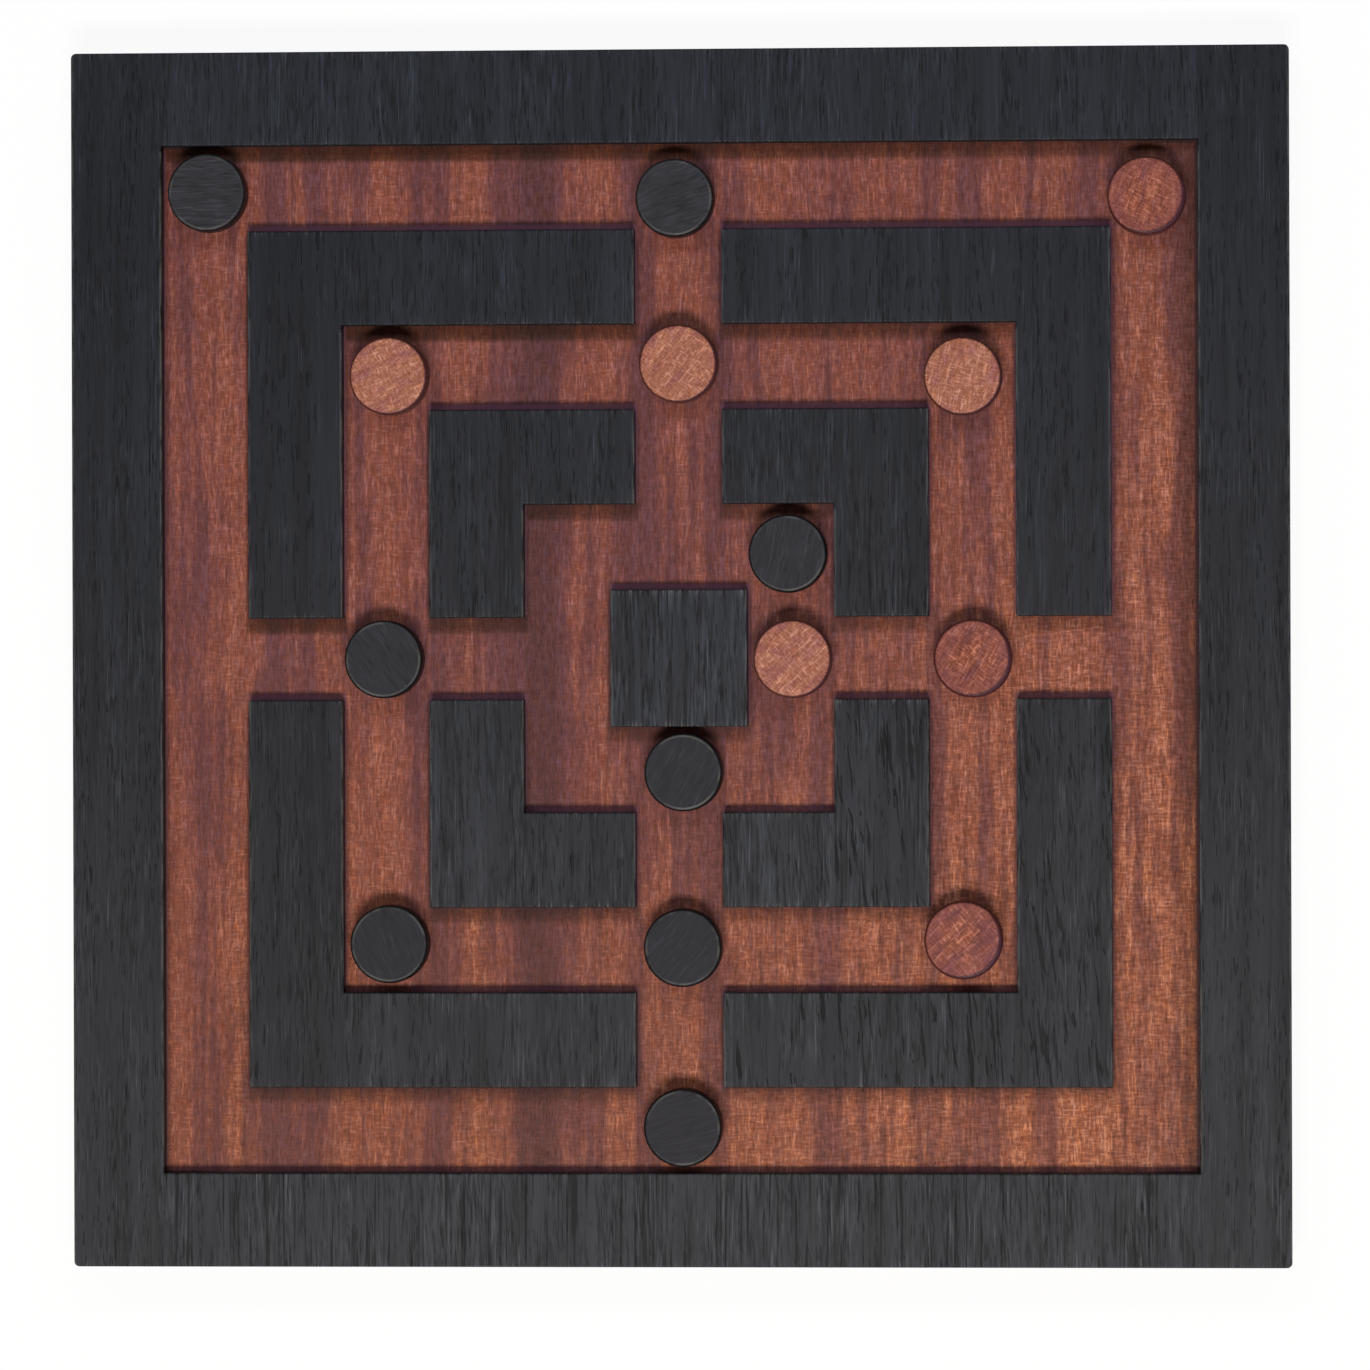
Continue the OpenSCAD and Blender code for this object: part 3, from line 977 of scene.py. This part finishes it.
@dataclass
class StripWork:
    """The dark strips: the frame, the eight corner pieces and the centre block."""

    seed_step: float = 3.7
    planks: dict[str, Plank] = field(default_factory=lambda: {
        "left_stile": Plank(0.71, 1.1),
        "right_stile": Plank(0.78, 0.8),
        "top_rail": Plank(1.07, 1.05),
        "bottom_rail": Plank(0.91, 1.15, 0.45, 0.70),
        "centre_block": Plank(1.05, 1.5, rings=0.45, frayed=1.0),
        "outer_leg_top_left": Plank(0.7, 0.75),
        "outer_leg_top_right": Plank(0.79, 0.7),
        "outer_leg_bottom_left": Plank(0.63),
        "outer_leg_bottom_right": Plank(0.8, 1.0, 0.9, 0.35),
        "outer_arm_top_left": Plank(0.89, 1.2),
        "outer_arm_top_right": Plank(0.96, 0.6),
        "outer_arm_bottom_left": Plank(0.77),
        "outer_arm_bottom_right": Plank(0.83, 1.0, 1.0, 0.35),
        "inner_leg_top_left": Plank(0.74, 1.3),
        "inner_leg_top_right": Plank(0.72),
        "inner_leg_bottom_left": Plank(0.88, 1.0, 0.5),
        "inner_leg_bottom_right": Plank(0.86, 1.0, 1.0, 0.55, 1.0),
        "inner_arm_top_left": Plank(0.77, 1.3),
        "inner_arm_top_right": Plank(0.84, 1.2),
        "inner_arm_bottom_left": Plank(0.8, frayed=1.0),
        "inner_arm_bottom_right": Plank(1.01, 1.0, 0.6, 0.45, 1.0)
    })

    def butted(self, node: str) -> tuple[str, ...]:
        """The strips that meet this one in a seam, where no edge can wear.

        Args:
            node: The strip's name.

        Returns:
            Its neighbours.
        """
        if "rail" in node:
            return ("left_stile", "right_stile")
        if "stile" in node:
            return ("top_rail", "bottom_rail")
        if "arm" in node:
            return (node.replace("arm", "leg"),)
        return (node.replace("leg", "arm"),) if "leg" in node else ()

    def dress(self) -> None:
        """Gives each strip a finish of its own."""
        for seed, (node, plank) in enumerate(self.planks.items()):
            finish = EbonisedOak(
                f"oak_{node}", seed * self.seed_step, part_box(node), self.butted(node), plank
            )
            put_on(node, finish.material())


class Player(Enum):
    """Whose man it is, and for the red ones which of two boards it was turned from."""

    DARK = "dark"
    RED_LIGHT = "light"
    RED_DEEP = "deep"


@dataclass
class Men:
    """The turned men of both players."""

    turns: dict[str, float] = field(default_factory=lambda: {
        "a7": 88.0, "d7": 70.0, "e5": 12.0, "b4": -35.0, "d3": 28.0, "b2": -20.0, "d2": 40.0, "d1": 75.0,
        "g7": 20.0, "b6": 65.0, "d6": 35.0, "f6": 15.0, "e4": 45.0, "f4": 30.0, "f2": 48.0
    })
    dark_seed_step: float = 2.3
    red_seed_step: float = 2.9
    deep: tuple[str, ...] = ("g7", "f4", "f2")
    front_tone: Colour = srgb(26, 27, 35)
    back_tone: Colour = srgb(42, 43, 49)
    tone_reach: float = 0.24

    def player(self, node: str) -> Player:
        """Tells which wood a man is turned from."""
        if node.startswith("dark"):
            return Player.DARK
        return Player.RED_DEEP if node[-2:] in self.deep else Player.RED_LIGHT

    def dark_tone(self, north: float) -> Colour:
        """The dark men nearer the front edge are painted a shade darker, a painted shade that evens out the
        stronger light of the south lamp there.

        Args:
            north: How far north of the middle the man lies, in metres.

        Returns:
            Its colour.
        """
        share = north / self.tone_reach + 0.5
        return tuple(low + (high - low) * share for low, high in zip(self.front_tone, self.back_tone))

    def dress(self) -> None:
        """Gives each man its finish, with the grain at the angle at which it lies."""
        for seed, node in enumerate(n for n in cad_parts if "_man_" in n):
            low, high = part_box(node)
            centre = ((low.x + high.x) / 2, (low.y + high.y) / 2)
            radius = (high.x - low.x) / (2 * MM)
            turn = self.turns[node[-2:]]
            player = self.player(node)
            if player is Player.DARK:
                tone = self.dark_tone(centre[1])
                finish = PolishedEbony(
                    f"ebony_{node}", seed * self.dark_seed_step, tone, turn, centre, radius
                )
            elif player is Player.RED_LIGHT:
                warm, plum = srgb(164, 102, 78), srgb(152, 90, 82)
                finish = TurnedSapele(
                    f"sapele_{node}", seed * self.red_seed_step, warm=warm, plum=plum, golden=warm,
                    rosy=plum, turn=turn, centre=centre, ribbon=(3.0, 5.0), cloud=(4.0, 4.0),
                    stroke=(0.42, 1.5), swing=1.0, weave=1.1, tint=0.5, radius=radius
                )
            else:
                warm, plum = srgb(144, 78, 57), srgb(118, 62, 59)
                finish = TurnedSapele(
                    f"sapele_{node}", seed * self.red_seed_step, warm=warm, plum=plum, golden=warm,
                    rosy=plum, turn=turn, centre=centre, ribbon=(3.0, 6.0), cloud=(5.0, 5.0),
                    stroke=(0.44, 2.1), swing=1.45, weave=1.1, tint=0.6, radius=radius,
                    edge_shade=0.45, shade_crescent=0.8
                )
            put_on(node, finish.material())


@dataclass(frozen=True)
class Lamp:
    """One soft lamp, aimed at the middle of the board."""

    name: str
    place: tuple[float, float, float]
    size: tuple[float, float]
    level: float
    colour: Colour

    def light(self) -> None:
        """Hangs the lamp, with its power set so that it gives the board the level asked for."""
        data = bpy.data.lights.new(self.name, "AREA")
        data.shape = "RECTANGLE"
        data.size, data.size_y = self.size
        data.energy = self.level * math.pi ** 2 / self.reach()
        data.color = self.colour
        lamp = bpy.data.objects.new(self.name, data)
        bpy.context.scene.collection.objects.link(lamp)
        lamp.location = self.place
        lamp.rotation_euler = self.turn().to_euler()

    def turn(self) -> Quaternion:
        """The lamp's turn, which aims it at the middle of the board."""
        return (-Vector(self.place)).to_track_quat("-Z", "Y")

    def reach(self, steps: int = 9) -> float:
        """Adds up how strongly each patch of the lamp's face lights the middle of the board.

        Args:
            steps: Patches along each side of the face.

        Returns:
            The mean share of a patch, per square metre of distance.
        """
        turn = self.turn()
        out = turn @ Vector((0.0, 0.0, -1.0))
        total = 0.0
        for row in range(steps):
            for column in range(steps):
                across = ((row + 0.5) / steps - 0.5) * self.size[0]
                up = ((column + 0.5) / steps - 0.5) * self.size[1]
                spot = Vector(self.place) + turn @ Vector((across, up, 0.0))
                ray = -spot.normalized()
                total += max(out @ ray, 0.0) * -ray.z / spot.length_squared
        return total / steps ** 2


@dataclass
class Studio:
    """The pale floor, the light and the camera above the board."""

    picture: int = 1370
    millimetres_per_pixel: float = 0.26634
    aim: tuple[float, float] = (0.00167, -0.00716)
    camera_height: float = 2.2
    sideways_degrees: float = 3.70
    roll_degrees: float = -0.171
    floor_side: float = 30.0
    floor_gap: float = 0.0002
    floor_grey: Colour = (0.9, 0.9, 0.9)
    floor_glow: float = 1.02
    glow_share: float = 0.90
    room_tone: Colour = (1.0, 0.90, 0.82)
    room_level: float = 0.11

    def build(self) -> None:
        """Sets up the floor, lamps, world and camera."""
        self.floor()
        Lamp(
            "north_lamp", place=(-0.09, 0.95, 1.46), size=(2.7, 0.30), level=0.20, colour=(0.90, 1.00, 1.10)
        ).light()
        Lamp(
            "south_lamp", place=(0.04, -0.94, 1.95), size=(0.9, 0.40), level=0.64, colour=(1.00, 0.92, 0.87)
        ).light()
        self.surroundings()
        self.camera()

    def floor(self) -> None:
        """Lays a pale floor that stays white in the picture and keeps the board's shadow."""
        mesh = bpy.data.meshes.new("studio_floor")
        half = self.floor_side / 2
        corners = [(-half, -half, 0), (half, -half, 0), (half, half, 0), (-half, half, 0)]
        mesh.from_pydata(corners, [], [(0, 1, 2, 3)])
        floor = bpy.data.objects.new("studio_floor", mesh)
        bpy.context.scene.collection.objects.link(floor)
        floor.location.z = CAD_BOX[0].z - self.floor_gap
        bench = Workbench("floor_white")
        edge_shade = bench.node("ShaderNodeBsdfDiffuse")
        bench.feed(edge_shade.inputs["Color"], self.floor_grey)
        glow = bench.node("ShaderNodeEmission")
        glow.inputs["Color"].default_value = (1.0, 1.0, 1.0, 1.0)
        glow.inputs["Strength"].default_value = self.floor_glow
        path = bench.node("ShaderNodeLightPath")
        seen = bench.math("MAXIMUM", path.outputs["Is Camera Ray"], path.outputs["Is Glossy Ray"])
        share = bench.times(seen, self.glow_share)
        join = bench.node("ShaderNodeMixShader")
        bench.feed(join.inputs[0], share)
        bench.feed(join.inputs[1], edge_shade.outputs[0])
        bench.feed(join.inputs[2], glow.outputs[0])
        bench.feed(bench.output.inputs["Surface"], join.outputs[0])
        mesh.materials.append(bench.material)

    def surroundings(self) -> None:
        """Gives the even light of a pale room, white where the camera looks past the floor."""
        world = bpy.data.worlds.new("studio")
        world.use_nodes = True
        bpy.context.scene.world = world
        tree = world.node_tree
        room = tree.nodes["Background"]
        room.inputs["Color"].default_value = (*self.room_tone, 1.0)
        room.inputs["Strength"].default_value = self.room_level
        white = tree.nodes.new("ShaderNodeBackground")
        white.inputs["Strength"].default_value = 1.0
        path = tree.nodes.new("ShaderNodeLightPath")
        join = tree.nodes.new("ShaderNodeMixShader")
        tree.links.new(path.outputs["Is Camera Ray"], join.inputs[0])
        tree.links.new(room.outputs[0], join.inputs[1])
        tree.links.new(white.outputs[0], join.inputs[2])
        tree.links.new(join.outputs[0], tree.nodes["World Output"].inputs["Surface"])

    def camera(self) -> None:
        """Hangs the camera over the board, a little to the right and turned back, as in the picture."""
        data = bpy.data.cameras.new("camera")
        data.sensor_width = 36.0
        width = self.picture * self.millimetres_per_pixel * MM
        data.lens = data.sensor_width * self.camera_height / width
        camera = bpy.data.objects.new("camera", data)
        bpy.context.scene.collection.objects.link(camera)
        shade_side = math.radians(self.sideways_degrees)
        back = Vector((math.sin(shade_side), 0.0, math.cos(shade_side)))
        camera.location = Vector((*self.aim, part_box("top_rail")[1].z)) + back * self.camera_height
        turned = Matrix.Rotation(shade_side, 3, "Y") @ Matrix.Rotation(math.radians(self.roll_degrees), 3, "Z")
        camera.rotation_euler = turned.to_euler()
        bpy.context.scene.camera = camera


def put_on(node: str, material: bpy.types.Material) -> None:
    """Gives a CAD node its only material.

    Args:
        node: The node's name.
        material: Its finish.
    """
    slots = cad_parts[node].data.materials
    slots.clear()
    slots.append(material)
    log.info("dressed %s in %s", node, material.name)


def main() -> None:
    """Dresses the board and lights it."""
    bpy.context.scene.view_settings.view_transform = "Standard"
    Panel().dress()
    StripWork().dress()
    Men().dress()
    Studio().build()


if __name__ == "__main__":
    main()
